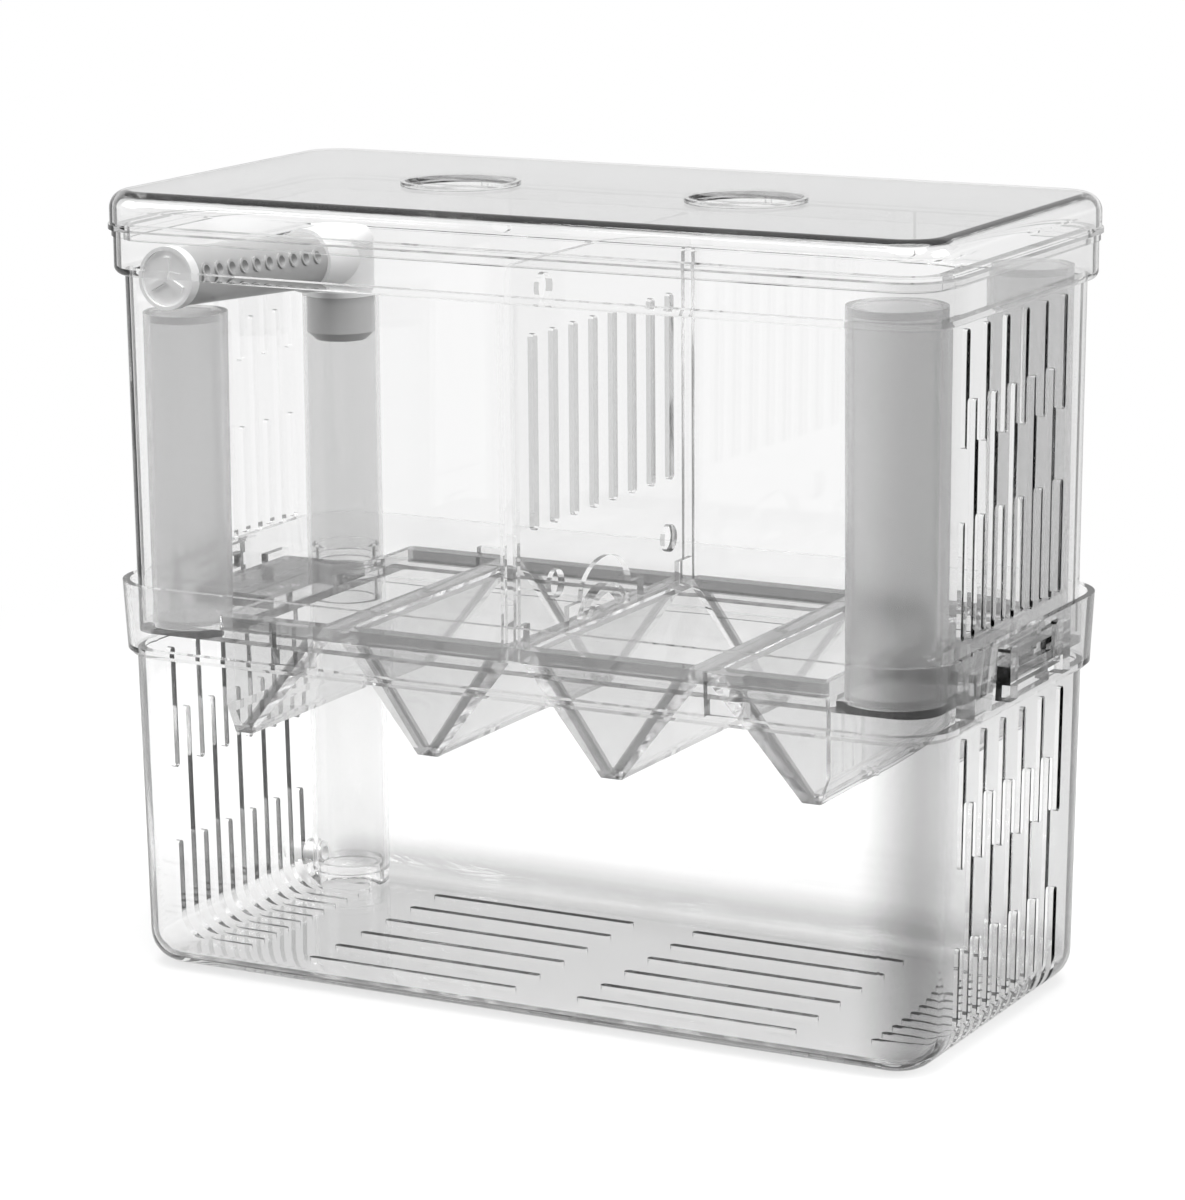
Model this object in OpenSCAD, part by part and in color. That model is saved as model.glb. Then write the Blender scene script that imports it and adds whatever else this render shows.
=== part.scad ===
// Two-tier fish breeding box: a slotted lower fry box, a slotted upper box nested in its collar, a V-trough
// tray, a slotted divider, a lid with two feeding ports, sealed float tubes and an air-lift riser with a
// spray bar.
// Units are millimetres. +X runs to the right along the length, the front faces -Y, +Z is up.
// The origin is the centre of the base.

/* [Overall] */
// Length over the lid
body_l = 200; // [160:1:260]
// Width over the lid
body_w = 97; // [80:1:130]
// Wall thickness of both boxes and the lid
wall_t = 1.6; // [1.2:0.1:2.4]
// Corner radius of the lid in plan
corner_r = 11.6; // [9:0.1:16]

/* [Lower box] */
// Height of the lower box without its collar
lower_h = 71.4; // [50:0.2:110]
// Height of the lower box's collar
lower_collar_h = 16.3; // [12:0.1:24]
// Draft of the lower box's walls, per side over their height
lower_draft = 1.2; // [0:0.1:2]
// Outward step from the walls to the collar
lower_step = 2; // [1.6:0.1:4]
// Fillet radius between the walls and the floor
floor_r = 7.5; // [3:0.5:10]
// Floor thickness
floor_t = 2; // [1.4:0.1:3]

/* [Upper box] */
// Height of the upper box below its collar
upper_h = 79; // [50:1:120]
// Height of the upper box's collar
upper_collar_h = 10; // [8:0.5:16]
// Depth the upper box sits inside the lower collar
nest_d = 11.2; // [6:0.1:14]
// Draft of the upper box's walls, per side over their height
upper_draft = 0.85; // [0:0.05:2]
// Thickness of the seat plate at the bottom of the upper box
shelf_t = 2.2; // [1.6:0.1:3]
// Width of the two cable and hose notches in the back rim
notch_w = 5; // [3:0.5:8]

/* [Slots] */
// Width of every wall and floor slot
slot_w = 1.9; // [1.2:0.1:2.4]
// Spacing of the slot columns in the end walls
slot_pitch = 5.2; // [4:0.1:7]
// Spacing of the floor slots
floor_slot_pitch = 11.2; // [6:0.1:14]

/* [Lid] */
// Height of the lid above the collar's rim
lid_h = 8.4; // [6:0.1:14]
// Diameter of a feeding port's seat
port_d = 24.5; // [16:0.5:34]
// Distance of each port from the middle
port_x = 34.6; // [24:0.2:60]

/* [Tray and divider] */
// Depth of the V troughs below the tray's frame
trough_h = 23.4; // [14:0.2:32]
// Thickness of the tray's frame
frame_t = 3; // [2:0.1:4]
// Thickness of the divider
divider_t = 1.6; // [1.2:0.1:2.4]
// Width of a divider slot
divider_slot_w = 2.2; // [1:0.1:3]

/* [Tubes] */
// Outer diameter of the front left and back right float tubes at their top
float_d = 18.6; // [14:0.1:20]
// Outer diameter of the front right float tube at its top
wide_float_d = 21.2; // [16:0.1:22]
// Height of the front left float tube, which ends under the spray bar
short_float_h = 69.4; // [40:0.2:70]
// Height of the two tall float tubes
tall_float_h = 81.4; // [50:0.2:90]
// Outer diameter of the riser
riser_d = 17.7; // [14:0.1:20]
// Outer diameter of the spray bar
bar_d = 12.8; // [9:0.1:14]
// Upward tilt of the spray bar towards its free end, degrees
bar_tilt = 3.5; // [0:0.5:6]
// Outer diameter of the air nozzle
nozzle_d = 6.2; // [4:0.1:7]

/* [Hidden] */
$fn = 48;
eps = 0.02;
gap = 0.05;
cut = 1;

// heights
z_lower_ledge = lower_h;
z_lower_rim = lower_h + lower_collar_h;
z_seat = z_lower_rim - nest_d;
z_shelf = z_seat + shelf_t;
z_frame = z_shelf + frame_t;
z_collar = z_seat + upper_h;
z_rim = z_collar + upper_collar_h;
z_lid = z_rim + gap;
z_top = z_lid + lid_h;

// lower box plan sizes
lower_rim_l = body_l + 0.3;
lower_rim_w = body_w;
lower_rim_r = corner_r + 2.6;
collar_draft = 0.85;
edge_r = 1;
lower_hx = lower_rim_l / 2 - lower_rim_r;
lower_hy = lower_rim_w / 2 - lower_rim_r;
lower_top_r = lower_rim_r - collar_draft - lower_step;
lower_base_r = lower_top_r - lower_draft;
lower_base_l = 2 * (lower_hx + lower_base_r);

// upper box plan sizes
collar_step = 2.35;
collar_edge = 2;
collar_l = body_l - 1.4;
collar_w = body_w - 2.6;
collar_r = corner_r - 0.6;
upper_hx = collar_l / 2 - collar_r;
upper_hy = collar_w / 2 - collar_r;
upper_top_r = collar_r - collar_step;
upper_base_r = upper_top_r - upper_draft;
upper_base_l = 2 * (upper_hx + upper_base_r);
upper_base_w = 2 * (upper_hy + upper_base_r);
in_x = upper_base_l / 2 - wall_t;
in_y = upper_base_w / 2 - wall_t;
bead_h = 1.5;
bead_out = 0.35;

// end wall slot pattern
slot_rows = 5;
slot_low_top = 24.4;
slot_mid_drop = 16.8;
slot_top_gap = 2.2;
slot_high_len = 27.8;
slot_mid_top = lower_h - slot_mid_drop;
slot_high_top = lower_h - slot_top_gap;
slot_high_bottom = slot_high_top - slot_high_len;
slot_wrap = 19.6;
slot_run = lower_base_l / 2 - slot_wrap;
upper_slot_rise = 13.2;
upper_slot_low = z_seat + upper_slot_rise;
upper_slot_len = 24.6;
upper_slot_gap = 1.4;
upper_slot_high = z_collar - upper_slot_gap - upper_slot_len;
upper_mid_low = upper_slot_low - 0.6;
upper_mid_drop = 16.4;
upper_mid_top = z_collar - upper_mid_drop;
floor_slot_in = 7.6;
floor_slot_end = 36.1;
floor_slot_out = lower_base_l / 2 - floor_slot_end;
floor_slot_rows = 6;

// end brackets on the lower collar
post_y = 12.3;
post_w = 4;
post_out = 2.7;
post_low = 75.4;
post_high = z_lower_rim - 1.2;
pad_out = 1.4;
pad_low = 78;
pad_high = z_lower_rim - 1.5;
pad_slot_y = 9;
pad_slot_low = 81.2;
pad_slot_h = 3;
bar_lip_h = 1.2;
bar_lip_out = 2.1;

// seat pads that carry the upper box
pad_len = 9;
pad_guide_h = 6;
pad_gap = 0.25;
pad_x = 52;
pad_y = 20;

// upper box seat plate
seat_ledge = 2.7;
opening_y = in_y - seat_ledge;
trough_gap = 1;
opening_r = 1.5;
socket_d = 1.2;
socket_gap = 0.1;
guide_w = 1;
guide_gap = 0.2;
guide_in = 1.2;
notch_x = 50.5;
notch_low = z_rim - 8.5;

// lid
flange_t = 1.1;
skirt_in = 0.4;
shoulder_r = 4;
lid_skirt_r = corner_r - skirt_in;
lid_ring_gap = 0.4;
lid_ring_t = 1.4;
lid_ring_r = corner_r - (body_w - collar_w) / 2 - wall_t - lid_ring_gap;
lid_ring_low = z_rim - 2.2;
port_ring_w = 1;
port_ring_h = 0.5;
port_lip_w = 2.6;
port_lip_d = 0.8;
pip_r = 0.8;

// divider
divider_y = in_y - 0.5;
divider_low = z_frame + gap;
divider_high = z_rim - 2.4;
divider_step = 4.2;
foot_in = 17.5;
foot_out = divider_y - 6.9;
arch_half = 11.5;
arch_h = 8;
divider_slot_pitch = 9.03;
divider_slot_edge = 9;
divider_slots = floor(2 * (divider_y - divider_slot_edge) / divider_slot_pitch) + 1;
divider_slot_rise = 23.7;
divider_slot_low = z_frame + divider_slot_rise;
divider_slot_drop = 8;
divider_slot_high = z_collar - divider_slot_drop;
divider_hole_r = 3.1;
divider_hole_rise = 10.4;
divider_holes = [
    [15.2 - divider_y, z_collar + 1.2],
    [19.4 - divider_y, z_frame + divider_hole_rise],
    [divider_y - 10.9, z_frame + divider_hole_rise]
];
divider_corner = 2;

// float tubes
tube_wall = 1.1;
tube_draft = 0.4;
tube_base = z_shelf - socket_d;
cap_t = 1.6;
cap_sink = 0.3;
short_cap_z = tube_base + short_float_h - cap_sink - cap_t;
tall_cap_z = tube_base + tall_float_h - cap_sink - cap_t;
wall_gap = 0.35;
float_r = float_d / 2;
wide_r = wide_float_d / 2;
left_x = -(in_x - float_r + tube_draft - wall_gap);
left_y = -(in_y - float_r + tube_draft - wall_gap);
wide_x = in_x - wide_r + tube_draft - wall_gap;
wide_y = -(in_y - wide_r + tube_draft - wall_gap);
right_x = -left_x;
right_y = -left_y;

// riser, elbow and spray bar
riser_r = riser_d / 2;
riser_wall_gap = 1.05;
riser_back_gap = 2.15;
riser_x = -(in_x - riser_r - riser_wall_gap);
riser_y = in_y - riser_r - riser_back_gap;
riser_wall = 0.9;
riser_bore = riser_r - riser_wall;
riser_flare = 0.3;
riser_drop = 13.4;
riser_top = z_collar - riser_drop;
riser_foot = 5.2;
riser_seat_h = 1.8;
riser_seat_in = 1.2;
coupling_flange = 1.6;
coupling_up = 3;
coupling_down = 6;
coupling_bore = 6.3;
run_gap = 0.06;
plug_h = 10.4;
plug_chamfer = 2;
plug_r = riser_bore - run_gap;
elbow_flange = 1.2;
elbow_flange_r = riser_r - 0.2;
elbow_bore = 5.5;
elbow_top = 7.4;
elbow_roof = 1.7;
elbow_round = 4;
bar_r = bar_d / 2;
bar_wall = 1.1;
bar_bore = bar_r - bar_wall;
bar_end_gap = 0.3;
bar_rise = 8.6;
bar_z = riser_top + bar_rise;
bar_front_gap = 0.9;
cap_len = 3;
bar_len = (riser_y + in_y - bar_front_gap) / cos(bar_tilt) - cap_len;
socket_r = bar_r + 0.9;
socket_end = 16;
socket_depth = 6;
bar_start = socket_end - socket_depth;
cap_r = bar_r + 0.5;
cap_plug = 2.2;
jet_pitch = 5.13;
jet_first = socket_end + 4.4;
jet_r = 1.2;
jet_count = floor((bar_len - cap_plug - jet_r - jet_first) / jet_pitch) + 1;
jet_rim = 0.55;
jet_rim_h = 0.4;
jet_angle = 15;
grip_arms = 3;
grip_w = 1.4;
grip_len = 4.6;
grip_h = 0.7;
grip_rim = 0.8;

// tray
frame_gap = 0.35;
tray_play = 0.1;
frame_x = wide_x - wide_r - frame_gap;
frame_y = in_y - wall_gap - tray_play;
opening_x = frame_x + trough_gap;
frame_corner = 1.5;
tab_x = in_x - 2 * wall_gap;
tab_gap = 1.45;
tab_y = -wide_y - wide_r - tab_gap;
tray_wall = 1.5;
trough_end_gap = 0.4;
trough_end = opening_y - trough_end_gap;
outer_trough_w = 28.5;
ridge_pitch = frame_x - outer_trough_w;
ridge_half = 2.3;
trough_flat = 3.7;
outer_flat_w = 3;
outer_flat_out = frame_x - 2.8;
outer_flat_in = outer_flat_out - outer_flat_w;
trough_chamfer = 3;
ridge_skin = 1.95;
z_trough = z_shelf - trough_h + tray_wall;
slit_w = 1.9;
slit_bridge = 3.2;
slit_pitch = 2 * (trough_end - tray_wall) / 3;
slit_len = slit_pitch - slit_bridge;
handle_rise = 6;
handle_span = 21;
handle_band = 1.9;
handle_t = 2.4;
handle_r = (handle_span * handle_span / 4 + handle_rise * handle_rise) / (2 * handle_rise);

// air nozzle
nozzle_r = nozzle_d / 2;
nozzle_bore = 1.6;
nozzle_z = 7.4;
nozzle_out = -(lower_rim_l / 2 + post_out);
nozzle_in = riser_x - riser_bore + 0.4;
nozzle_tip = 1;
nozzle_step = 0.3;
nozzle_fit_r = nozzle_r - nozzle_step;
nozzle_stub_gap = 0.4;

// colours
clear = [0.93, 0.95, 0.96, 0.35];
grey_clear = [0.66, 0.67, 0.68, 0.6];
smoke = [0.42, 0.43, 0.44];

// a flat plate with round corners, lying on the XY plane
module slab(l, w, r, h) {
    linear_extrude(h) {
        square([l - 2 * r, w], center = true);
        square([l, w - 2 * r], center = true);
        for (sx = [-1, 1], sy = [-1, 1])
            translate([sx * (l / 2 - r), sy * (w / 2 - r)]) circle(r);
    }
}

// a wall swept round a rounded rectangle: the child's x runs outward from the lines through the corner
// centres, which are 2 * hx by 2 * hy apart, and its y runs up
module swept_wall(hx, hy) {
    for (m = [0, 1]) {
        mirror([0, m, 0]) translate([-hx, -hy, 0]) rotate([90, 0, 90])
            linear_extrude(2 * hx) mirror([1, 0]) children();
        mirror([m, 0, 0]) translate([hx, hy, 0]) rotate([90, 0, 0])
            linear_extrude(2 * hy) children();
    }
    for (k = [0 : 3])
        translate([k % 3 == 0 ? hx : -hx, k < 2 ? hy : -hy, 0]) rotate([0, 0, 90 * k])
            rotate_extrude(angle = 90) children();
}

// a quarter disc that rounds an outside corner of a section, its centre at x, z
module round_corner(x, z, r) {
    intersection() {
        translate([x, z]) circle(r);
        translate([x, z - r]) square([r, 2 * r]);
    }
}

// a slot with round ends in the YZ plane, cut from x0 to x1
module end_slot(x0, x1, y, z0, z1, w) {
    translate([x0, y, z0 + w / 2]) rotate([0, 90, 0]) cylinder(h = x1 - x0, r = w / 2);
    translate([x0, y, z1 - w / 2]) rotate([0, 90, 0]) cylinder(h = x1 - x0, r = w / 2);
    translate([x0, y - w / 2, z0 + w / 2]) cube([x1 - x0, w, z1 - z0 - w]);
}

// a slot with round ends along X, cut from z0 to z1
module floor_slot(x0, x1, y, z0, z1, w) {
    translate([x0 + w / 2, y, z0]) cylinder(h = z1 - z0, r = w / 2);
    translate([x1 - w / 2, y, z0]) cylinder(h = z1 - z0, r = w / 2);
    translate([x0 + w / 2, y - w / 2, z0]) cube([x1 - x0 - w, w, z1 - z0]);
}

// the slots of one end of the lower box, some of which wrap under the fillet into the floor
module lower_end_slots() {
    x_in = lower_base_l / 2 - wall_t - floor_r;
    x_out = body_l;
    for (k = [-slot_rows : slot_rows]) {
        y = k * slot_pitch;
        odd = abs(k) % 2 == 1;
        wrap_top = odd ? slot_low_top : slot_mid_top;
        end_slot(x_in, x_out, y, -floor_r, wrap_top, slot_w);
        floor_slot(slot_run, x_in + floor_r, y, -cut, floor_t + cut, slot_w);
        if (odd) end_slot(x_in, x_out, y, slot_high_bottom, slot_high_top, slot_w);
    }
}

// section of floor, fillet, wall, ledge and collar of the lower box
module lower_section() {
    fx = lower_base_r - floor_r;
    inner_r = floor_r - wall_t;
    difference() {
        union() {
            polygon([
                [0, 0], [fx, 0], [fx, floor_r], [lower_base_r, floor_r], [lower_top_r, z_lower_ledge],
                [lower_rim_r - collar_draft - edge_r, z_lower_ledge],
                [lower_rim_r - collar_draft, z_lower_ledge + edge_r],
                [lower_rim_r, z_lower_rim], [0, z_lower_rim]
            ]);
            round_corner(fx, floor_r, floor_r);
        }
        polygon([
            [-eps, floor_t], [fx, floor_t], [fx, floor_t + inner_r],
            [lower_base_r - wall_t, floor_t + inner_r],
            [lower_top_r - wall_t, z_lower_ledge + wall_t],
            [lower_rim_r - collar_draft - wall_t, z_lower_ledge + wall_t],
            [lower_rim_r - wall_t, z_lower_rim + eps], [-eps, z_lower_rim + eps]
        ]);
        round_corner(fx, floor_t + inner_r, inner_r);
    }
}

module lower_shell() {
    swept_wall(lower_hx, lower_hy) lower_section();
    translate([-lower_hx, -lower_hy, 0]) cube([2 * lower_hx, 2 * lower_hy, floor_t]);
}

// one seat pad: a rib under the upper box's bottom edge with a guide beside its wall
module seat_pad(along, across, edge) {
    reach = lower_step + wall_t + eps;
    translate([-pad_len / 2, edge - wall_t - reach, z_lower_ledge + wall_t - eps])
        cube([pad_len, reach, z_seat - z_lower_ledge - wall_t + eps - gap]);
    depth = edge - wall_t + eps - (across / 2 + pad_gap);
    translate([-pad_len / 2, across / 2 + pad_gap, z_lower_ledge + wall_t - eps])
        cube([pad_len, depth, z_seat + pad_guide_h - z_lower_ledge - wall_t]);
}

module seat_pads() {
    side_edge = lower_rim_w / 2 - collar_draft / 2;
    end_edge = lower_rim_l / 2 - collar_draft / 2;
    for (sx = [-1, 1], m = [0, 1])
        mirror([0, m, 0]) translate([sx * pad_x, 0, 0]) seat_pad(pad_len, upper_base_w, side_edge);
    for (sy = [-1, 1], m = [0, 1])
        mirror([m, 0, 0]) translate([0, sy * pad_y, 0]) rotate([0, 0, -90])
            seat_pad(pad_len, upper_base_l, end_edge);
}

// posts, pad and lip of one end bracket, on the right end
module end_bracket() {
    x0 = lower_rim_l / 2 - collar_draft - wall_t / 2;
    x1 = lower_rim_l / 2 + post_out;
    for (s = [-1, 1])
        translate([x0, s * (post_y + post_w / 2) - post_w / 2, post_low])
            cube([x1 - x0, post_w, post_high - post_low]);
    translate([x0, -post_y - eps, pad_low])
        cube([lower_rim_l / 2 + pad_out - x0, 2 * (post_y + eps), pad_high - pad_low]);
    translate([x0, -post_y - eps, pad_low])
        cube([lower_rim_l / 2 + bar_lip_out - x0, 2 * (post_y + eps), bar_lip_h]);
}

module bracket_slot() {
    x0 = lower_rim_l / 2 - 2 * wall_t - collar_draft;
    translate([x0, -pad_slot_y, pad_slot_low])
        cube([wall_t + collar_draft + 3 * wall_t, 2 * pad_slot_y, pad_slot_h]);
}

module lower_box() {
    color(clear) difference() {
        union() {
            lower_shell();
            seat_pads();
            for (m = [0, 1]) mirror([m, 0, 0]) end_bracket();
            translate([riser_x, riser_y, floor_t - eps]) riser_seat();
        }
        for (m = [0, 1]) mirror([m, 0, 0]) lower_end_slots();
        for (m = [0, 1]) mirror([m, 0, 0]) bracket_slot();
        for (s = [-1, 1], k = [0 : floor_slot_rows - 1]) {
            y = (k - (floor_slot_rows - 1) / 2) * floor_slot_pitch;
            mid = s * (floor_slot_in + floor_slot_out) / 2;
            half = (floor_slot_out - floor_slot_in) / 2;
            floor_slot(mid - half, mid + half, y, -cut, floor_t + cut, slot_w);
        }
        translate([riser_x, riser_y, -cut])
            cylinder(h = riser_foot + riser_seat_h + 2 * cut, r = riser_bore - riser_seat_in);
        translate([-body_l, riser_y, nozzle_z]) rotate([0, 90, 0])
            cylinder(h = body_l + riser_x, r = nozzle_fit_r + run_gap);
    }
}

// ring round the floor's water inlet that carries and centres the riser's lower tube
module riser_seat() {
    cylinder(h = riser_foot - floor_t - gap + eps, r = riser_r);
    cylinder(h = riser_foot - floor_t + riser_seat_h, r = riser_bore - run_gap);
}

module riser_lower_tube() {
    color(grey_clear) translate([riser_x, riser_y, riser_foot]) difference() {
        cylinder(h = z_seat - gap - riser_foot, r1 = riser_r + riser_flare, r2 = riser_r);
        translate([0, 0, -cut]) cylinder(h = z_seat, r = riser_bore);
        translate([-riser_d, 0, nozzle_z - riser_foot]) rotate([0, 90, 0])
            cylinder(h = riser_d, r = nozzle_fit_r + run_gap);
    }
}

// a stub for the air hose, stepped down where it passes through the end wall into the riser
module air_nozzle() {
    stub_in = -lower_base_l / 2 - nozzle_stub_gap;
    color(smoke) translate([0, riser_y, nozzle_z]) rotate([0, 90, 0]) difference() {
        union() {
            translate([0, 0, nozzle_out]) cylinder(h = nozzle_tip, r1 = nozzle_r - nozzle_tip, r2 = nozzle_r);
            translate([0, 0, nozzle_out + nozzle_tip])
                cylinder(h = stub_in - nozzle_out - nozzle_tip, r = nozzle_r);
            translate([0, 0, stub_in - eps])
                cylinder(h = nozzle_in - nozzle_tip - stub_in + eps, r = nozzle_fit_r);
            translate([0, 0, nozzle_in - nozzle_tip])
                cylinder(h = nozzle_tip, r1 = nozzle_fit_r, r2 = nozzle_fit_r - nozzle_tip);
        }
        translate([0, 0, nozzle_out - cut]) cylinder(h = body_l, r = nozzle_bore);
    }
}

// section of seat plate, wall, ledge, collar and bead of the upper box
module upper_section() {
    ex = collar_r - collar_edge;
    difference() {
        union() {
            polygon([
                [0, z_seat], [upper_base_r, z_seat], [upper_top_r, z_collar], [ex, z_collar],
                [ex, z_collar + collar_edge], [collar_r, z_collar + collar_edge],
                [collar_r, z_rim - bead_h], [collar_r + bead_out, z_rim - bead_h],
                [collar_r + bead_out, z_rim], [0, z_rim]
            ]);
            round_corner(ex, z_collar + collar_edge, collar_edge);
        }
        polygon([
            [-eps, z_shelf], [upper_base_r - wall_t, z_shelf], [upper_top_r - wall_t, z_collar + wall_t],
            [collar_r - wall_t, z_collar + wall_t], [collar_r - wall_t, z_rim + eps], [-eps, z_rim + eps]
        ]);
    }
}

module upper_shell() {
    swept_wall(upper_hx, upper_hy) upper_section();
    translate([-upper_hx, -upper_hy, z_seat]) cube([2 * upper_hx, 2 * upper_hy, shelf_t]);
}

module upper_end_slots() {
    x_in = upper_base_l / 2 - 2 * wall_t;
    x_out = body_l;
    for (k = [-slot_rows : slot_rows]) {
        y = k * slot_pitch;
        odd = abs(k) % 2 == 1;
        if (odd) {
            end_slot(x_in, x_out, y, upper_slot_low, upper_slot_low + upper_slot_len, slot_w);
            end_slot(x_in, x_out, y, upper_slot_high, upper_slot_high + upper_slot_len, slot_w);
        } else {
            end_slot(x_in, x_out, y, upper_mid_low, upper_mid_top, slot_w);
        }
    }
}

// rib pairs inside the front and back walls that hold the divider
module divider_guides() {
    for (sx = [-1, 1], m = [0, 1])
        mirror([0, m, 0])
            translate([sx * (divider_t / 2 + guide_gap + guide_w / 2) - guide_w / 2,
                in_y - guide_in, z_shelf - eps])
                cube([guide_w, guide_in + upper_draft + wall_t / 2, z_collar - z_shelf]);
}

module float_socket(x, y, r) {
    translate([x, y, tube_base - gap]) cylinder(h = shelf_t, r = r - tube_draft + socket_gap);
}

module upper_box() {
    color(clear) difference() {
        union() {
            upper_shell();
            divider_guides();
        }
        translate([0, 0, z_seat - cut])
            slab(2 * opening_x, 2 * opening_y, opening_r, shelf_t + 2 * cut);
        for (m = [0, 1]) mirror([m, 0, 0]) upper_end_slots();
        float_socket(left_x, left_y, float_r);
        float_socket(wide_x, wide_y, wide_r);
        float_socket(right_x, right_y, float_r);
        translate([riser_x, riser_y, z_seat - cut]) cylinder(h = shelf_t + 2 * cut, r = riser_bore + gap);
        for (s = [-1, 1]) translate([s * notch_x, 0, 0]) back_notch();
    }
}

module back_notch() {
    translate([0, collar_w / 2 + cut, notch_low + notch_w / 2]) rotate([90, 0, 0])
        cylinder(h = 4 * wall_t, r = notch_w / 2);
    translate([-notch_w / 2, collar_w / 2 + cut - 4 * wall_t, notch_low + notch_w / 2])
        cube([notch_w, 4 * wall_t, upper_collar_h]);
}

module riser_coupling() {
    color(grey_clear) translate([riser_x, riser_y, 0]) difference() {
        union() {
            translate([0, 0, z_shelf + gap]) cylinder(h = coupling_flange, r = riser_r);
            translate([0, 0, z_shelf + gap])
                cylinder(h = coupling_flange + coupling_up, r = riser_bore - run_gap);
            translate([0, 0, z_seat - coupling_down])
                cylinder(h = coupling_down + shelf_t + coupling_flange, r = riser_bore - run_gap);
        }
        translate([0, 0, z_seat - coupling_down - cut]) cylinder(h = upper_h, r = coupling_bore);
    }
}

module riser_upper_tube() {
    z0 = z_shelf + 2 * gap + coupling_flange;
    color(grey_clear) translate([riser_x, riser_y, z0]) difference() {
        cylinder(h = riser_top - z0, r = riser_r);
        translate([0, 0, -cut]) cylinder(h = riser_top, r = riser_bore);
    }
}

// half section of the elbow's upright can, its round top edge included
module elbow_can_section(z0) {
    x = plug_r - elbow_round;
    z = bar_z + elbow_top - elbow_round;
    polygon([[0, z0], [plug_r, z0], [plug_r, z], [x, z], [x, z + elbow_round], [0, z + elbow_round]]);
    round_corner(x, z, elbow_round);
}

// the elbow: a plug in the riser, a flange, an upright can and a socket for the bar
module riser_elbow() {
    color(smoke) translate([riser_x, riser_y, 0]) difference() {
        union() {
            translate([0, 0, riser_top - plug_h])
                cylinder(h = plug_chamfer, r1 = plug_r - plug_chamfer, r2 = plug_r);
            rotate_extrude() elbow_can_section(riser_top - plug_h + plug_chamfer);
            translate([0, 0, riser_top + gap]) cylinder(h = elbow_flange, r = elbow_flange_r);
            translate([0, 0, bar_z]) rotate([90 - bar_tilt, 0, 0]) cylinder(h = socket_end, r = socket_r);
        }
        translate([0, 0, riser_top - plug_h - cut])
            cylinder(h = bar_rise + plug_h + cut + elbow_top - elbow_roof, r = elbow_bore);
        translate([0, 0, bar_z]) rotate([90 - bar_tilt, 0, 0]) {
            cylinder(h = bar_len, r = bar_bore);
            translate([0, 0, bar_start - bar_end_gap]) cylinder(h = bar_len, r = bar_r + run_gap);
        }
    }
}

// the bar's own frame: z runs along the bar from the riser's axis to the free end, x points to +X
module bar_frame() {
    translate([riser_x, riser_y, bar_z]) rotate([90 - bar_tilt, 0, 0]) children();
}

module spray_bar() {
    color(grey_clear) bar_frame() difference() {
        union() {
            translate([0, 0, bar_start]) cylinder(h = bar_len - bar_start, r = bar_r);
            for (k = [0 : jet_count - 1])
                translate([0, 0, jet_first + k * jet_pitch]) rotate([0, 0, jet_angle]) rotate([0, 90, 0])
                    translate([0, 0, bar_r - bar_wall / 2])
                        cylinder(h = bar_wall / 2 + jet_rim_h, r = jet_r + jet_rim);
        }
        translate([0, 0, bar_start - cut]) cylinder(h = bar_len, r = bar_bore);
        for (k = [0 : jet_count - 1])
            translate([0, 0, jet_first + k * jet_pitch]) rotate([0, 0, jet_angle]) rotate([0, 90, 0])
                cylinder(h = bar_d, r = jet_r);
    }
}

module spray_bar_end_cap() {
    color(smoke) bar_frame() {
        translate([0, 0, bar_len + gap]) cylinder(h = cap_len - grip_h, r = cap_r);
        translate([0, 0, bar_len - cap_plug]) cylinder(h = cap_plug + gap + eps, r = bar_bore);
        difference() {
            translate([0, 0, bar_len + gap]) cylinder(h = cap_len, r = cap_r);
            translate([0, 0, bar_len + gap + cap_len - grip_h]) cylinder(h = cut, r = cap_r - grip_rim);
        }
        for (k = [0 : grip_arms - 1])
            rotate([0, 0, 90 + k * 360 / grip_arms])
                translate([0, -grip_w / 2, bar_len + gap + cap_len - grip_h - eps])
                    cube([grip_len, grip_w, grip_h]);
    }
}

// an open tube with a slight draft, wider at the top
module float_body(x, y, r, h) {
    color(grey_clear) translate([x, y, tube_base]) difference() {
        cylinder(h = h, r1 = r - tube_draft, r2 = r);
        translate([0, 0, -eps]) cylinder(h = h + 2 * eps, r = r - tube_draft - tube_wall);
    }
}

// the flat disc of a float tube's cap, its underside at z
module float_cap(x, y, z, r) {
    color(grey_clear) translate([x, y, z]) cylinder(h = cap_t, r = r - tube_draft - tube_wall - eps);
}

module front_left_float_tube() { float_body(left_x, left_y, float_r, short_float_h); }
module front_left_float_top_cap() { float_cap(left_x, left_y, short_cap_z, float_r); }
module front_left_float_bottom_cap() { float_cap(left_x, left_y, tube_base, float_r); }
module front_right_float_tube() { float_body(wide_x, wide_y, wide_r, tall_float_h); }
module front_right_float_top_cap() { float_cap(wide_x, wide_y, tall_cap_z, wide_r); }
module front_right_float_bottom_cap() { float_cap(wide_x, wide_y, tube_base, wide_r); }
module back_right_float_tube() { float_body(right_x, right_y, float_r, tall_float_h); }
module back_right_float_top_cap() { float_cap(right_x, right_y, tall_cap_z, float_r); }
module back_right_float_bottom_cap() { float_cap(right_x, right_y, tube_base, float_r); }

// a trough as a prism along Y, from its section in X and Z
module trough_prism(points, half) {
    translate([0, half, 0]) rotate([90, 0, 0]) linear_extrude(2 * half) polygon(points);
}

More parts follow.
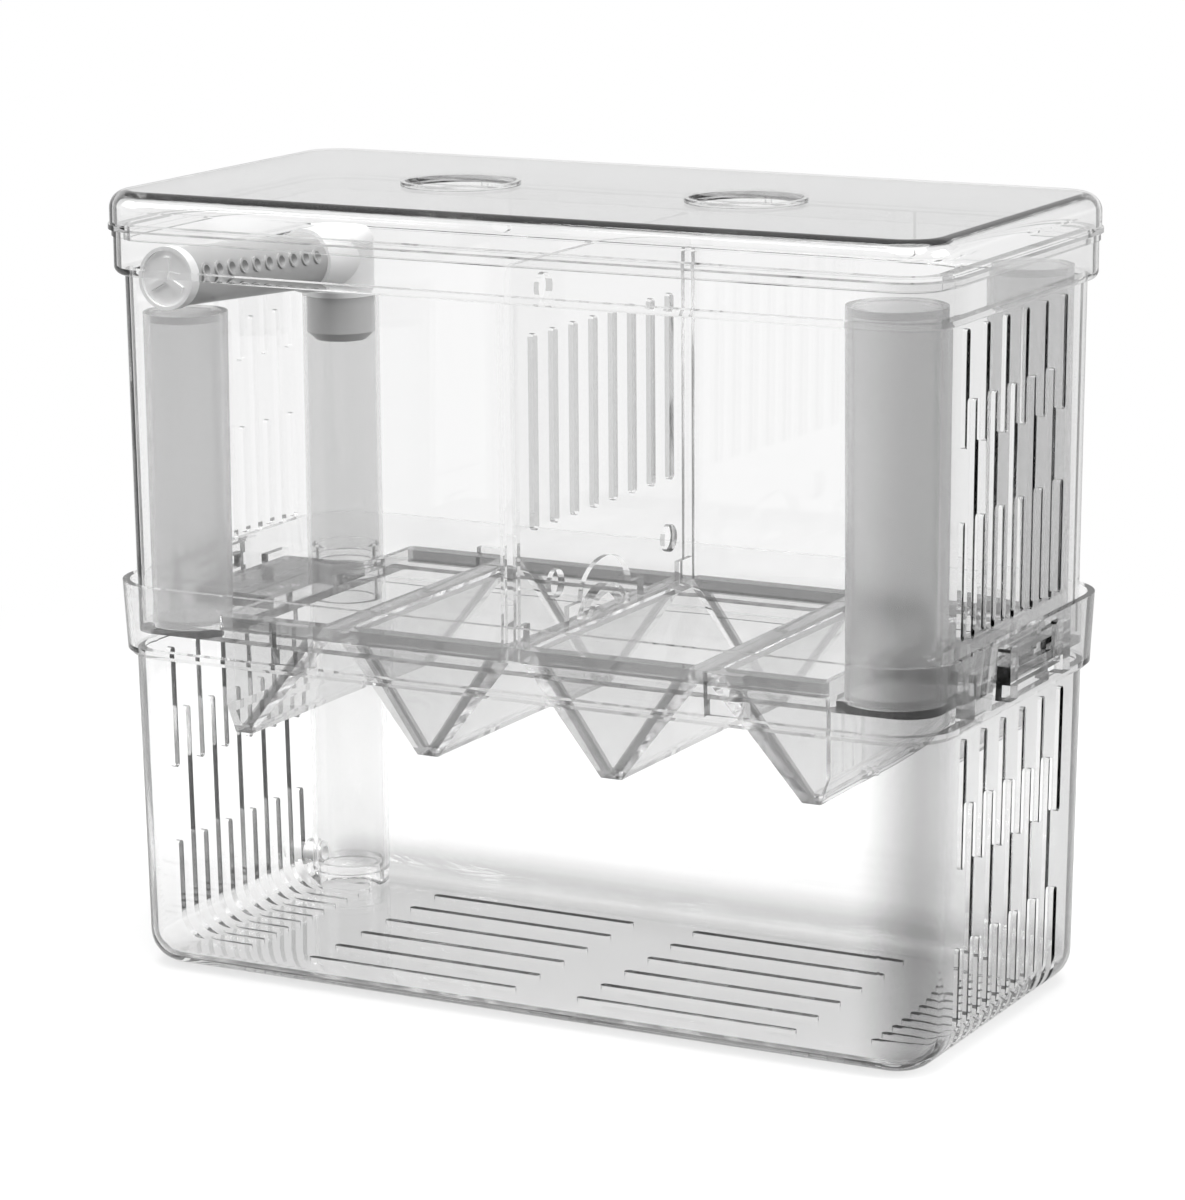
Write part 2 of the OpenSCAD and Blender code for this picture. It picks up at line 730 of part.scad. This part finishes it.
function outer_trough(t, z0, z1, s) = [
    [-frame_x + tray_wall - t, z1],
    [-frame_x + tray_wall - t, z0 + trough_chamfer + t],
    [-outer_flat_out - 0.4 * t, z0 - t],
    [-outer_flat_in + 0.4 * t, z0 - t],
    [-ridge_pitch - ridge_half + s, z1]
];
function inner_trough(t, z0, z1, s) = [
    [-ridge_pitch + ridge_half - s, z1],
    [-ridge_pitch / 2 - trough_flat / 2 - 0.4 * t, z0 - t],
    [-ridge_pitch / 2 + trough_flat / 2 + 0.4 * t, z0 - t],
    [-ridge_half + s, z1]
];

module tray_frame() {
    notch_half = divider_t / 2 + guide_gap + guide_w + guide_gap;
    translate([0, 0, z_shelf + gap]) difference() {
        union() {
            slab(2 * frame_x, 2 * frame_y, frame_corner, frame_t - gap);
            slab(2 * tab_x, 2 * tab_y, frame_corner, frame_t - gap);
        }
        for (m = [0, 1]) mirror([0, m, 0]) translate([-notch_half, in_y - guide_in - 2 * guide_gap, -cut])
            cube([2 * notch_half, 2 * guide_in, frame_t + 2 * cut]);
    }
}

module tray_slits() {
    for (m = [0, 1]) mirror([m, 0, 0]) {
        for (x = [-(outer_flat_out + outer_flat_in) / 2, -ridge_pitch / 2], k = [-1 : 1])
            translate([x, k * slit_pitch, 0]) rotate([0, 0, 90])
                floor_slot(-slit_len / 2, slit_len / 2, 0, z_trough - 2 * tray_wall, z_trough + cut, slit_w);
    }
}

// arched pull on the middle ridge, standing in the YZ plane
module tray_handle() {
    zc = z_frame + handle_rise - handle_r;
    intersection() {
        translate([-handle_t / 2, 0, zc]) rotate([0, 90, 0]) difference() {
            cylinder(h = handle_t, r = handle_r);
            translate([0, 0, -cut]) cylinder(h = handle_t + 2 * cut, r = handle_r - handle_band);
        }
        translate([-handle_t, -handle_span, z_frame - 1]) cube([2 * handle_t, 2 * handle_span, handle_r]);
    }
}

module v_tray() {
    color(clear) {
        difference() {
            union() {
                tray_frame();
                for (m = [0, 1]) mirror([m, 0, 0]) {
                    trough_prism(outer_trough(tray_wall, z_trough, z_shelf + cut, ridge_skin), trough_end);
                    trough_prism(inner_trough(tray_wall, z_trough, z_shelf + cut, ridge_skin), trough_end);
                }
            }
            for (m = [0, 1]) mirror([m, 0, 0]) {
                trough_prism(outer_trough(0, z_trough, z_frame + cut, 0), trough_end - tray_wall);
                trough_prism(inner_trough(0, z_trough, z_frame + cut, 0), trough_end - tray_wall);
            }
            tray_slits();
        }
        tray_handle();
    }
}

module divider_outline() {
    y1 = divider_y;
    z0 = divider_low;
    z1 = divider_high;
    s = z0 + divider_step;
    difference() {
        polygon([
            [-y1, s], [-foot_out, s], [-foot_out, z0], [-foot_in, z0], [-foot_in, s],
            [foot_in, s], [foot_in, z0], [foot_out, z0], [foot_out, s], [y1, s],
            [y1, z1 - divider_corner], [y1 - divider_corner, z1],
            [-y1 + divider_corner, z1], [-y1, z1 - divider_corner]
        ]);
        translate([0, s]) scale([1, arch_h / arch_half]) circle(arch_half);
        for (k = [0 : divider_slots - 1])
            translate([(k - (divider_slots - 1) / 2) * divider_slot_pitch, 0]) {
                translate([0, divider_slot_low + divider_slot_w / 2]) circle(divider_slot_w / 2);
                translate([0, divider_slot_high - divider_slot_w / 2]) circle(divider_slot_w / 2);
                translate([-divider_slot_w / 2, divider_slot_low + divider_slot_w / 2])
                    square([divider_slot_w, divider_slot_high - divider_slot_low - divider_slot_w]);
            }
        for (place = divider_holes) translate(place) circle(divider_hole_r);
    }
}

module divider() {
    color(clear) translate([-divider_t / 2, 0, 0]) rotate([90, 0, 90])
        linear_extrude(divider_t) divider_outline();
}

// thickened ring round a feeding port
module lid_port() {
    translate([0, 0, z_top - wall_t - port_lip_d])
        cylinder(h = wall_t + port_lip_d + port_ring_h, r = port_d / 2 + port_ring_w);
}

// section of plate, shoulder, skirt, flange and locating ring of the lid
module lid_section() {
    sx = lid_skirt_r - shoulder_r;
    sz = z_top - shoulder_r;
    inner_r = shoulder_r - wall_t;
    difference() {
        union() {
            polygon([
                [0, z_lid], [corner_r, z_lid], [corner_r, z_lid + flange_t], [lid_skirt_r, z_lid + flange_t],
                [lid_skirt_r, sz], [sx, sz], [sx, z_top], [0, z_top]
            ]);
            polygon([
                [0, lid_ring_low], [lid_ring_r, lid_ring_low], [lid_ring_r, z_lid + eps], [0, z_lid + eps]
            ]);
            round_corner(sx, sz, shoulder_r);
        }
        polygon([
            [-eps, z_lid + flange_t], [lid_skirt_r - wall_t, z_lid + flange_t], [lid_skirt_r - wall_t, sz],
            [sx, sz], [sx, z_top - wall_t], [-eps, z_top - wall_t]
        ]);
        polygon([
            [-eps, lid_ring_low - eps], [lid_ring_r - lid_ring_t, lid_ring_low - eps],
            [lid_ring_r - lid_ring_t, z_lid + flange_t + eps], [-eps, z_lid + flange_t + eps]
        ]);
        round_corner(sx, sz, inner_r);
    }
}

module lid() {
    hx = body_l / 2 - corner_r;
    hy = body_w / 2 - corner_r;
    color(clear) difference() {
        union() {
            swept_wall(hx, hy) lid_section();
            translate([-hx, -hy, z_top - wall_t]) cube([2 * hx, 2 * hy, wall_t]);
            for (s = [-1, 1]) translate([s * port_x, 0, 0]) lid_port();
        }
        for (s = [-1, 1]) translate([s * port_x, 0, z_top - lid_h]) {
            cylinder(h = 2 * lid_h, r = port_d / 2 - port_lip_w);
            translate([0, 0, lid_h - port_lip_d]) cylinder(h = lid_h, r = port_d / 2);
        }
        for (s = [-1, 1], a = [0 : 90 : 270])
            translate([s * port_x, 0, z_top - lid_h]) rotate([0, 0, a])
                translate([port_d / 2 - port_lip_w / 2, 0, 0]) cylinder(h = 2 * lid_h, r = pip_r);
    }
}

lower_box();
upper_box();
lid();
v_tray();
divider();
front_left_float_tube();
front_left_float_top_cap();
front_left_float_bottom_cap();
front_right_float_tube();
front_right_float_top_cap();
front_right_float_bottom_cap();
back_right_float_tube();
back_right_float_top_cap();
back_right_float_bottom_cap();
riser_lower_tube();
riser_coupling();
riser_upper_tube();
riser_elbow();
spray_bar();
spray_bar_end_cap();
air_nozzle();
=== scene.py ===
"""Clear two-tier fish breeding box: moulded acrylic tiers, lid, V tray and divider, smoke-tinted float
tubes and air-lift riser, on a white floor in soft studio light."""

import math

import bpy
from mathutils import Matrix, Vector

MM = 0.001
WHITE = (1.0, 1.0, 1.0, 1.0)

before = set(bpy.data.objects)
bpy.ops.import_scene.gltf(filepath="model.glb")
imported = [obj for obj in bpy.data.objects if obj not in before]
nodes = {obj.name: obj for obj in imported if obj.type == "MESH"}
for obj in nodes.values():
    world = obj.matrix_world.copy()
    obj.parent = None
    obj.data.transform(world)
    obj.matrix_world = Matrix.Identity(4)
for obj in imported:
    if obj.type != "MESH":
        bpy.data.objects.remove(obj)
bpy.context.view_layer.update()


# ---------------------------------------------------------------- camera
FOCAL_PX = 4498.2          # focal length in pixels of the 1185 x 1200 frame
FRAME_PX = 1200.0          # long side of that frame
SENSOR_MM = 36.0
AZIMUTH = math.radians(27.936)
ELEVATION = math.radians(12.375)
ROLL = math.radians(-0.436)
DISTANCE = 984.56 * MM
TARGET_SIDE = -2.525 * MM
TARGET_HEIGHT = 83.906 * MM
NEAREST = 50.0 * MM
FARTHEST = 60.0


def add_camera():
    """A camera on a sphere round the target, rolled about its line of sight."""
    back = Vector((math.sin(AZIMUTH) * math.cos(ELEVATION), -math.cos(AZIMUTH) * math.cos(ELEVATION),
                   math.sin(ELEVATION)))
    level = Vector((math.cos(AZIMUTH), math.sin(AZIMUTH), 0.0))
    upright = back.cross(level)
    right = level * math.cos(ROLL) + upright * math.sin(ROLL)
    up = upright * math.cos(ROLL) - level * math.sin(ROLL)
    target = right * TARGET_SIDE + Vector((0.0, 0.0, TARGET_HEIGHT))
    data = bpy.data.cameras.new("camera")
    data.sensor_width = SENSOR_MM
    data.lens = FOCAL_PX * SENSOR_MM / FRAME_PX
    data.clip_start = NEAREST
    data.clip_end = FARTHEST
    obj = bpy.data.objects.new("camera", data)
    turn = Matrix((right, up, back)).transposed().to_4x4()
    obj.matrix_world = Matrix.Translation(target + back * DISTANCE) @ turn
    bpy.context.collection.objects.link(obj)
    bpy.context.scene.camera = obj


# ---------------------------------------------------------------- nodes and colours
def linear(code):
    """sRGB hex colour to linear RGBA."""
    parts = [int(code[i:i + 2], 16) / 255.0 for i in (1, 3, 5)]
    return tuple(c / 12.92 if c <= 0.04045 else ((c + 0.055) / 1.055) ** 2.4 for c in parts) + (1.0,)


def add(tree, kind, settings=None, values=None, links=None):
    """Adds one node: attributes from settings, socket values from values, and links as {input: output}."""
    node = tree.nodes.new(kind)
    for name, value in (settings or {}).items():
        setattr(node, name, value)
    for name, value in (values or {}).items():
        node.inputs[name].default_value = value
    for name, source in (links or {}).items():
        tree.links.new(source, node.inputs[name])
    return node


def new_material(name):
    """An empty node material and its tree."""
    mat = bpy.data.materials.new(name)
    mat.use_nodes = True
    mat.node_tree.nodes.clear()
    return mat, mat.node_tree


# ---------------------------------------------------------------- masks that say where a painted shade goes
SQUARE_ON = 0.9            # a face looks along an axis when this much of its normal does


def combined(tree, operation, masks):
    """Folds masks into one: MAXIMUM where any of them holds, MULTIPLY where all of them do."""
    whole = masks[0]
    for mask in masks[1:]:
        whole = add(tree, "ShaderNodeMath", {"operation": operation}, None,
                    {0: whole.outputs[0], 1: mask.outputs[0]})
    return whole


def faces_of(tree, place, axis, reach=None, low=None):
    """1 where a face looks up or down the axis, within reach of its middle and above the height low."""
    facing = add(tree, "ShaderNodeSeparateXYZ", links={0: place.outputs["Normal"]})
    at = add(tree, "ShaderNodeSeparateXYZ", links={0: place.outputs["Object"]})
    part = add(tree, "ShaderNodeMath", {"operation": "ABSOLUTE"}, links={0: facing.outputs[axis]})
    square = add(tree, "ShaderNodeMath", {"operation": "GREATER_THAN"}, {1: SQUARE_ON}, {0: part.outputs[0]})
    masks = [square]
    if reach is not None:
        away = add(tree, "ShaderNodeMath", {"operation": "ABSOLUTE"}, links={0: at.outputs[axis]})
        near = add(tree, "ShaderNodeMath", {"operation": "LESS_THAN"}, {1: reach}, {0: away.outputs[0]})
        masks.append(near)
    if low is not None:
        above = add(tree, "ShaderNodeMath", {"operation": "GREATER_THAN"}, {1: low}, {0: at.outputs["Z"]})
        masks.append(above)
    return combined(tree, "MULTIPLY", masks)


def soft_band(tree, place, centre, across, reach):
    """1 on a line through the centre, easing to 0 at reach; across is 0 along the line and 1 over it."""
    away = add(tree, "ShaderNodeVectorMath", {"operation": "SUBTRACT"}, {1: centre},
               {0: place.outputs["Object"]})
    flat = add(tree, "ShaderNodeVectorMath", {"operation": "MULTIPLY"}, {1: across},
               {0: away.outputs["Vector"]})
    far = add(tree, "ShaderNodeVectorMath", {"operation": "LENGTH"}, links={0: flat.outputs["Vector"]})
    return add(tree, "ShaderNodeMapRange", {"interpolation_type": "SMOOTHSTEP"},
               {"From Min": 0.0, "From Max": reach, "To Min": 1.0, "To Max": 0.0},
               {"Value": far.outputs["Value"]})


# section of the tray: a foot is where the middle of a sloping wall stands on the troughs' floor, and a lean
# is how far it goes out for each metre that it rises
TROUGH_FLOOR = 56.8 * MM
INNER_MIDDLE = 22.25 * MM  # from the tray's middle to that of an inner trough
INNER_FOOT = 1.1 * MM      # from an inner trough's middle
INNER_LEAN = 0.699
OUTER_FOOT = 68.0 * MM     # from the tray's middle
OUTER_LEAN = -0.788
WALL_HALF = 1.25 * MM      # half a sloping wall, measured level
TRAY_RIM = 78.7 * MM       # underside of the tray's frame
TRAY_TOP = 80.5 * MM       # a little under the frame's upper faces


def beside_wall(tree, out, rise, foot, lean):
    """1 where out is within half a wall of foot + lean * rise."""
    middle = add(tree, "ShaderNodeMath", {"operation": "MULTIPLY_ADD"}, {1: lean, 2: foot},
                 {0: rise.outputs[0]})
    gap = add(tree, "ShaderNodeMath", {"operation": "SUBTRACT"}, None,
              {0: out.outputs[0], 1: middle.outputs[0]})
    size = add(tree, "ShaderNodeMath", {"operation": "ABSOLUTE"}, links={0: gap.outputs[0]})
    return add(tree, "ShaderNodeMath", {"operation": "LESS_THAN"}, {1: WALL_HALF}, {0: size.outputs[0]})


def painted_tray_edge_shade(tree, place):
    """1 on the frame's upper faces and edges, and on the ends of the troughs' sloping walls and floors:
    where painted shade goes.
    """
    at = add(tree, "ShaderNodeSeparateXYZ", links={0: place.outputs["Object"]})
    out = add(tree, "ShaderNodeMath", {"operation": "ABSOLUTE"}, links={0: at.outputs["X"]})
    rise = add(tree, "ShaderNodeMath", {"operation": "SUBTRACT"}, {1: TROUGH_FLOOR}, {0: at.outputs["Z"]})
    aside = add(tree, "ShaderNodeMath", {"operation": "SUBTRACT"}, {1: INNER_MIDDLE}, {0: out.outputs[0]})
    inner = add(tree, "ShaderNodeMath", {"operation": "ABSOLUTE"}, links={0: aside.outputs[0]})
    floor = add(tree, "ShaderNodeMath", {"operation": "LESS_THAN"}, {1: 0.0}, {0: rise.outputs[0]})
    section = combined(tree, "MAXIMUM", [beside_wall(tree, inner, rise, INNER_FOOT, INNER_LEAN),
                                         beside_wall(tree, out, rise, OUTER_FOOT, OUTER_LEAN), floor])
    return combined(tree, "MAXIMUM", [combined(tree, "MULTIPLY", [faces_of(tree, place, "Y"), section]),
                                      faces_of(tree, place, "Y", low=TRAY_RIM),
                                      faces_of(tree, place, "Z", low=TRAY_TOP)])


# from the divider's middle to a little short of its upright edges
DIVIDER_INSIDE = 40.5 * MM


def painted_divider_edge_shade(tree, place):
    """1 on the sides of the slots and holes, and on the edges that look up or down: where painted shade
    goes.
    """
    return combined(tree, "MAXIMUM", [faces_of(tree, place, "Y", reach=DIVIDER_INSIDE),
                                      faces_of(tree, place, "Z")])


def painted_end_shade(tree, place):
    """1 on the faces of the right end that look along the length: where painted shade greys that end."""
    at = add(tree, "ShaderNodeSeparateXYZ", links={0: place.outputs["Object"]})
    right = add(tree, "ShaderNodeMath", {"operation": "GREATER_THAN"}, {1: 0.0}, {0: at.outputs["X"]})
    return combined(tree, "MULTIPLY", [faces_of(tree, place, "X"), right])


def painted_level_shade(tree, place):
    """1 on the faces that look up or down, where the lid's painted shade goes."""
    return faces_of(tree, place, "Z")


# a point on the line that each painted soft shade follows, and how far from it the painted shade reaches
CORNER = (93.5 * MM, -40.5 * MM, 0.0)
CORNER_REACH = 15.0 * MM
FILLET = (0.0, 43.5 * MM, 4.0 * MM)
FILLET_REACH = 8.0 * MM


def painted_corner_shade(tree, place):
    """Painted soft shade down the rounded corner at the front right."""
    return soft_band(tree, place, CORNER, (1.0, 1.0, 0.0), CORNER_REACH)


def painted_fillet_shade(tree, place):
    """Painted soft shade along the fillet between the floor and the back wall."""
    return soft_band(tree, place, FILLET, (0.0, 1.0, 1.0), FILLET_REACH)


# ---------------------------------------------------------------- materials
# the coat has the true index of acrylic, for its gloss; inside thin walls that index breaks up into black
# lines, so each clear body has a lower one
ACRYLIC_IOR = 1.49
COAT_ROUGHNESS = 0.02
# what a long way through acrylic leaves of white light
ACRYLIC_DEPTH = "#d2d2d2"
ABS_IOR = 1.53
ABS_ROUGHNESS = 0.35
ABS_SHADE = "#d8d8d8"
# draws the waves out up the walls, the way that the melt flowed
UPRIGHT = (1.0, 1.0, 0.35)


def flow_bump(tree, place, waves, strength, height):
    """Soft unevenness of a moulded face: stretched noise with so many waves to a metre."""
    stretch = add(tree, "ShaderNodeMapping", values={"Scale": UPRIGHT},
                  links={"Vector": place.outputs["Object"]})
    noise = add(tree, "ShaderNodeTexNoise", values={"Scale": waves, "Detail": 2.0, "Roughness": 0.4},
                links={"Vector": stretch.outputs["Vector"]})
    return add(tree, "ShaderNodeBump", values={"Strength": strength, "Distance": height},
               links={"Height": noise.outputs["Fac"]})


def end_tree(tree, body, shade, inside=None):
    """Joins the body to the output, with a plain see-through shade for the lamps' shadow rays."""
    passing = add(tree, "ShaderNodeBsdfTransparent", values={"Color": linear(shade)})
    path = add(tree, "ShaderNodeLightPath")
    mix = add(tree, "ShaderNodeMixShader",
              links={0: path.outputs["Is Shadow Ray"], 1: body.outputs["BSDF"], 2: passing.outputs["BSDF"]})
    add(tree, "ShaderNodeOutputMaterial", links={"Surface": mix.outputs["Shader"], **(inside or {})})


def clear_plastic(name, colour, shade, roughness, ior, absorb, coat=0.0, through=1.0, painted_shades=()):
    """Glass-clear moulded acrylic with slow waves about 18 mm apart; each painted shade goes where its mask
    says.
    """
    mat, tree = new_material(name)
    place = add(tree, "ShaderNodeTexCoord")
    bump = flow_bump(tree, place, waves=55.0, strength=0.05, height=0.4 * MM)
    links = {"Normal": bump.outputs["Normal"]}
    for mask, shade_tone in painted_shades:
        below = {6: links["Base Color"]} if "Base Color" in links else {}
        layer = add(tree, "ShaderNodeMix", {"data_type": "RGBA"}, {6: linear(colour), 7: linear(shade_tone)},
                    {0: mask(tree, place).outputs[0], **below})
        links["Base Color"] = layer.outputs[2]
    body = add(tree, "ShaderNodeBsdfPrincipled",
               values={"Base Color": linear(colour), "Roughness": roughness, "IOR": ior,
                       "Transmission Weight": through, "Coat Weight": coat, "Coat IOR": ACRYLIC_IOR,
                       "Coat Roughness": COAT_ROUGHNESS},
               links=links)
    depth = add(tree, "ShaderNodeVolumeAbsorption",
                values={"Color": linear(ACRYLIC_DEPTH), "Density": absorb})
    end_tree(tree, body, shade, {"Volume": depth.outputs["Volume"]})
    return mat


def satin_plastic(name, colour, transmission):
    """Satin moulded ABS, slightly see-through; its spark-eroded grain is drawn 1 mm coarse to show."""
    mat, tree = new_material(name)
    place = add(tree, "ShaderNodeTexCoord")
    bump = flow_bump(tree, place, waves=900.0, strength=0.08, height=0.05 * MM)
    body = add(tree, "ShaderNodeBsdfPrincipled",
               values={"Base Color": linear(colour), "Roughness": ABS_ROUGHNESS, "IOR": ABS_IOR,
                       "Transmission Weight": transmission},
               links={"Normal": bump.outputs["Normal"]})
    end_tree(tree, body, ABS_SHADE)
    return mat


# clear walls with thin grey outlines, and painted shade: greyer on the right end, soft along the back
# fillet, darker at the front right corner
LOWER = clear_plastic("clear_moulded_lower_acrylic", "#fefefe", "#fdfdfd",
                      roughness=0.0, ior=1.14, absorb=10.0, coat=1.0,
                      painted_shades=((painted_end_shade, "#dcdcdc"), (painted_fillet_shade, "#d0d0d0"), (painted_corner_shade, "#b2b2b2")))
# the same clear acrylic, with a weaker painted shade at the corner in front of the wide tube and a faint one
# on the right end
UPPER = clear_plastic("clear_moulded_upper_acrylic", "#fefefe", "#fdfdfd",
                      roughness=0.0, ior=1.10, absorb=10.0, coat=1.0,
                      painted_shades=((painted_end_shade, "#f2f2f2"), (painted_corner_shade, "#dcdcdc")))
# a lid with painted grey shade on its level faces, which reads as a light grey sheet seen at a slant, with
# clear sides
LID = clear_plastic("clear_moulded_lid_acrylic", "#fafafa", "#fdfdfd",
                    roughness=0.0, ior=1.10, absorb=10.0, coat=1.0, painted_shades=((painted_level_shade, "#d8d8d8"),))
# grey see-through troughs whose cut edges and frame tops carry painted shade, so they read as darker bands
TRAY = clear_plastic("grey_tinted_tray_acrylic", "#e8e8e8", "#f8f8f8",
                     roughness=0.02, ior=1.12, absorb=6.0, coat=0.6, painted_shades=((painted_tray_edge_shade, "#8c8c8c"),))
# a clear sheet whose slot and hole sides carry painted shade, so that they show as grey lines
DIVIDER = clear_plastic("clear_divider_acrylic", "#fafafa", "#fdfdfd",
                        roughness=0.0, ior=1.095, absorb=3.5, coat=0.3, painted_shades=((painted_divider_edge_shade, "#b4b4b4"),))
# light smoke tube, a little frosted, through which the far wall still shows
RISER = clear_plastic("light_smoke_riser_acrylic", "#e8e8e8", "#f2f2f2",
                      roughness=0.10, ior=1.25, absorb=3.0)
# the riser's foot, almost clear
RISER_FOOT = clear_plastic("clear_riser_foot_acrylic", "#f4f4f4", "#fafafa",
                           roughness=0.06, ior=1.25, absorb=3.0)
# frosted smoke tubes that read as soft grey columns
FLOAT = clear_plastic("smoke_tinted_float_acrylic", "#e9e9e9", "#f0f0f0",
                      roughness=0.20, ior=1.25, absorb=3.0, through=0.85)
# light satin grey fittings
GREY = satin_plastic("satin_grey_abs", "#f6f6f6", transmission=0.12)
# the darker satin grey of the spray bar
BAR = satin_plastic("satin_grey_bar_abs", "#aeaeae", transmission=0.10)

# every node that isn't named here is a float tube or its cap
FINISH = {
    "lower_box": LOWER, "upper_box": UPPER, "lid": LID, "v_tray": TRAY, "divider": DIVIDER,
    "riser_lower_tube": RISER_FOOT, "riser_coupling": UPPER, "riser_upper_tube": RISER,
    "riser_elbow": GREY, "spray_bar": BAR, "spray_bar_end_cap": GREY, "air_nozzle": GREY,
}
for name, node in nodes.items():
    for slot in node.material_slots:
        slot.material = FINISH.get(name, FLOAT)


# ---------------------------------------------------------------- floor, world and lamps
# brightness of the dark cards round the set, which only reflections see, and how steep a ray has to be for
# them to start to fade and to be gone
CARD_LEVEL = 0.55
CARD_FROM = 0.02
CARD_TO = 0.12
# the sheet lies just under the box, so that their faces stay apart
FLOOR_HALF = 12.0
FLOOR_DROP = 0.3 * MM
# distances at which the lit paper starts to turn plain white, and has done so
SHADOW_FROM = 0.16
SHADOW_TO = 0.42
PAPER = (0.63, 0.63, 0.63, 1.0)
# what the world gives to matt faces
AMBIENT = (0.25, 0.25, 0.25, 1.0)
# the studio's level by how steep a ray is: white near the floor, grey above it and white overhead
STUDIO = ((0.08, 1.0), (0.21, 0.56), (0.36, 0.62), (0.62, 0.66), (0.80, 0.95))
LAMP_TARGET = Vector((0.0, 0.0, 80.0 * MM))
# a ray through both tiers and the tubes crosses dozens of faces, and so does a shadow ray
BOUNCES = 64
CLEAR_LAYERS = 48


def reflected_only(tree, path):
    """1 for a ray that was mirrored and not bent through a surface."""
    return add(tree, "ShaderNodeMath", {"operation": "SUBTRACT", "use_clamp": True}, None,
               {0: path.outputs["Is Glossy Ray"], 1: path.outputs["Is Transmission Ray"]})


def seamless_paper():
    """White paper: matt under the object, plain white further out, and a dark card to reflections."""
    mat, tree = new_material("white_seamless_paper")
    place = add(tree, "ShaderNodeTexCoord")
    radius = add(tree, "ShaderNodeVectorMath", {"operation": "LENGTH"}, links={0: place.outputs["Object"]})
    fade = add(tree, "ShaderNodeMapRange", {"interpolation_type": "SMOOTHSTEP"},
               {"From Min": SHADOW_FROM, "From Max": SHADOW_TO}, {"Value": radius.outputs["Value"]})
    sheet = add(tree, "ShaderNodeBsdfDiffuse", values={"Color": PAPER})
    mirrored = reflected_only(tree, add(tree, "ShaderNodeLightPath"))
    level = add(tree, "ShaderNodeMapRange", values={"To Min": 1.0, "To Max": CARD_LEVEL},
                links={"Value": mirrored.outputs[0]})
    glow = add(tree, "ShaderNodeEmission", values={"Color": WHITE},
               links={"Strength": level.outputs["Result"]})
    far = combined(tree, "MAXIMUM", [fade, mirrored])
    mix = add(tree, "ShaderNodeMixShader",
              links={0: far.outputs[0], 1: sheet.outputs["BSDF"], 2: glow.outputs["Emission"]})
    add(tree, "ShaderNodeOutputMaterial", links={"Surface": mix.outputs["Shader"]})
    return mat


def add_floor():
    """A wide square sheet under the box."""
    corners = ((-1, -1), (1, -1), (1, 1), (-1, 1))
    mesh = bpy.data.meshes.new("floor")
    points = [(x * FLOOR_HALF, y * FLOOR_HALF, -FLOOR_DROP) for x, y in corners]
    mesh.from_pydata(points, [], [(0, 1, 2, 3)])
    mesh.materials.append(seamless_paper())
    obj = bpy.data.objects.new("floor", mesh)
    bpy.context.collection.objects.link(obj)


def add_world():
    """White behind the object, and the studio for reflections and for what shows through the plastic."""
    world = bpy.data.worlds.new("studio")
    world.use_nodes = True
    tree = world.node_tree
    tree.nodes.clear()
    way = add(tree, "ShaderNodeTexCoord")
    split = add(tree, "ShaderNodeSeparateXYZ", links={0: way.outputs["Generated"]})
    ramp = add(tree, "ShaderNodeValToRGB", links={0: split.outputs["Z"]})
    stops = ramp.color_ramp.elements
    # of the ramp's two stops the black one goes, and the white one stays for straight overhead
    stops.remove(stops[0])
    for steepness, level in STUDIO:
        stops.new(steepness).color = (level, level, level, 1.0)
    cards = add(tree, "ShaderNodeMapRange",
                values={"From Min": CARD_FROM, "From Max": CARD_TO, "To Min": CARD_LEVEL, "To Max": 1.0},
                links={"Value": split.outputs["Z"]})
    glossy = add(tree, "ShaderNodeMix", {"data_type": "RGBA", "blend_type": "MULTIPLY"}, {0: 1.0},
                 {6: ramp.outputs["Color"], 7: cards.outputs["Result"]})
    path = add(tree, "ShaderNodeLightPath")
    through = add(tree, "ShaderNodeMix", {"data_type": "RGBA"}, {6: AMBIENT},
                  {0: path.outputs["Is Transmission Ray"], 7: ramp.outputs["Color"]})
    mirrored = reflected_only(tree, path)
    seen = add(tree, "ShaderNodeMix", {"data_type": "RGBA"},
               links={0: mirrored.outputs[0], 6: through.outputs[2], 7: glossy.outputs[2]})
    plain = add(tree, "ShaderNodeMix", {"data_type": "RGBA"}, {7: WHITE},
                {0: path.outputs["Is Camera Ray"], 6: seen.outputs[2]})
    back = add(tree, "ShaderNodeBackground", links={"Color": plain.outputs[2]})
    add(tree, "ShaderNodeOutputWorld", links={"Surface": back.outputs["Background"]})
    bpy.context.scene.world = world


def add_lamp(name, place, size, watts):
    """A soft square lamp aimed at the middle of the box."""
    data = bpy.data.lights.new(name, "AREA")
    data.shape = "SQUARE"
    data.size = size
    data.energy = watts
    obj = bpy.data.objects.new(name, data)
    aim = (LAMP_TARGET - Vector(place)).to_track_quat("-Z", "Y")
    obj.matrix_world = Matrix.Translation(place) @ aim.to_matrix().to_4x4()
    bpy.context.collection.objects.link(obj)
    obj.visible_camera = False


add_camera()
add_floor()
add_world()
add_lamp("top_lamp", place=(0.1, -0.2, 1.6), size=1.4, watts=44.0)
add_lamp("left_lamp", place=(-1.4, -0.9, 1.1), size=0.9, watts=19.0)
add_lamp("right_lamp", place=(1.5, 0.3, 0.9), size=0.9, watts=16.0)

scene = bpy.context.scene
scene.view_settings.view_transform = "Standard"
scene.cycles.max_bounces = BOUNCES
scene.cycles.transmission_bounces = BOUNCES
scene.cycles.glossy_bounces = BOUNCES
scene.cycles.transparent_max_bounces = CLEAR_LAYERS
scene.cycles.caustics_refractive = False
scene.cycles.caustics_reflective = False
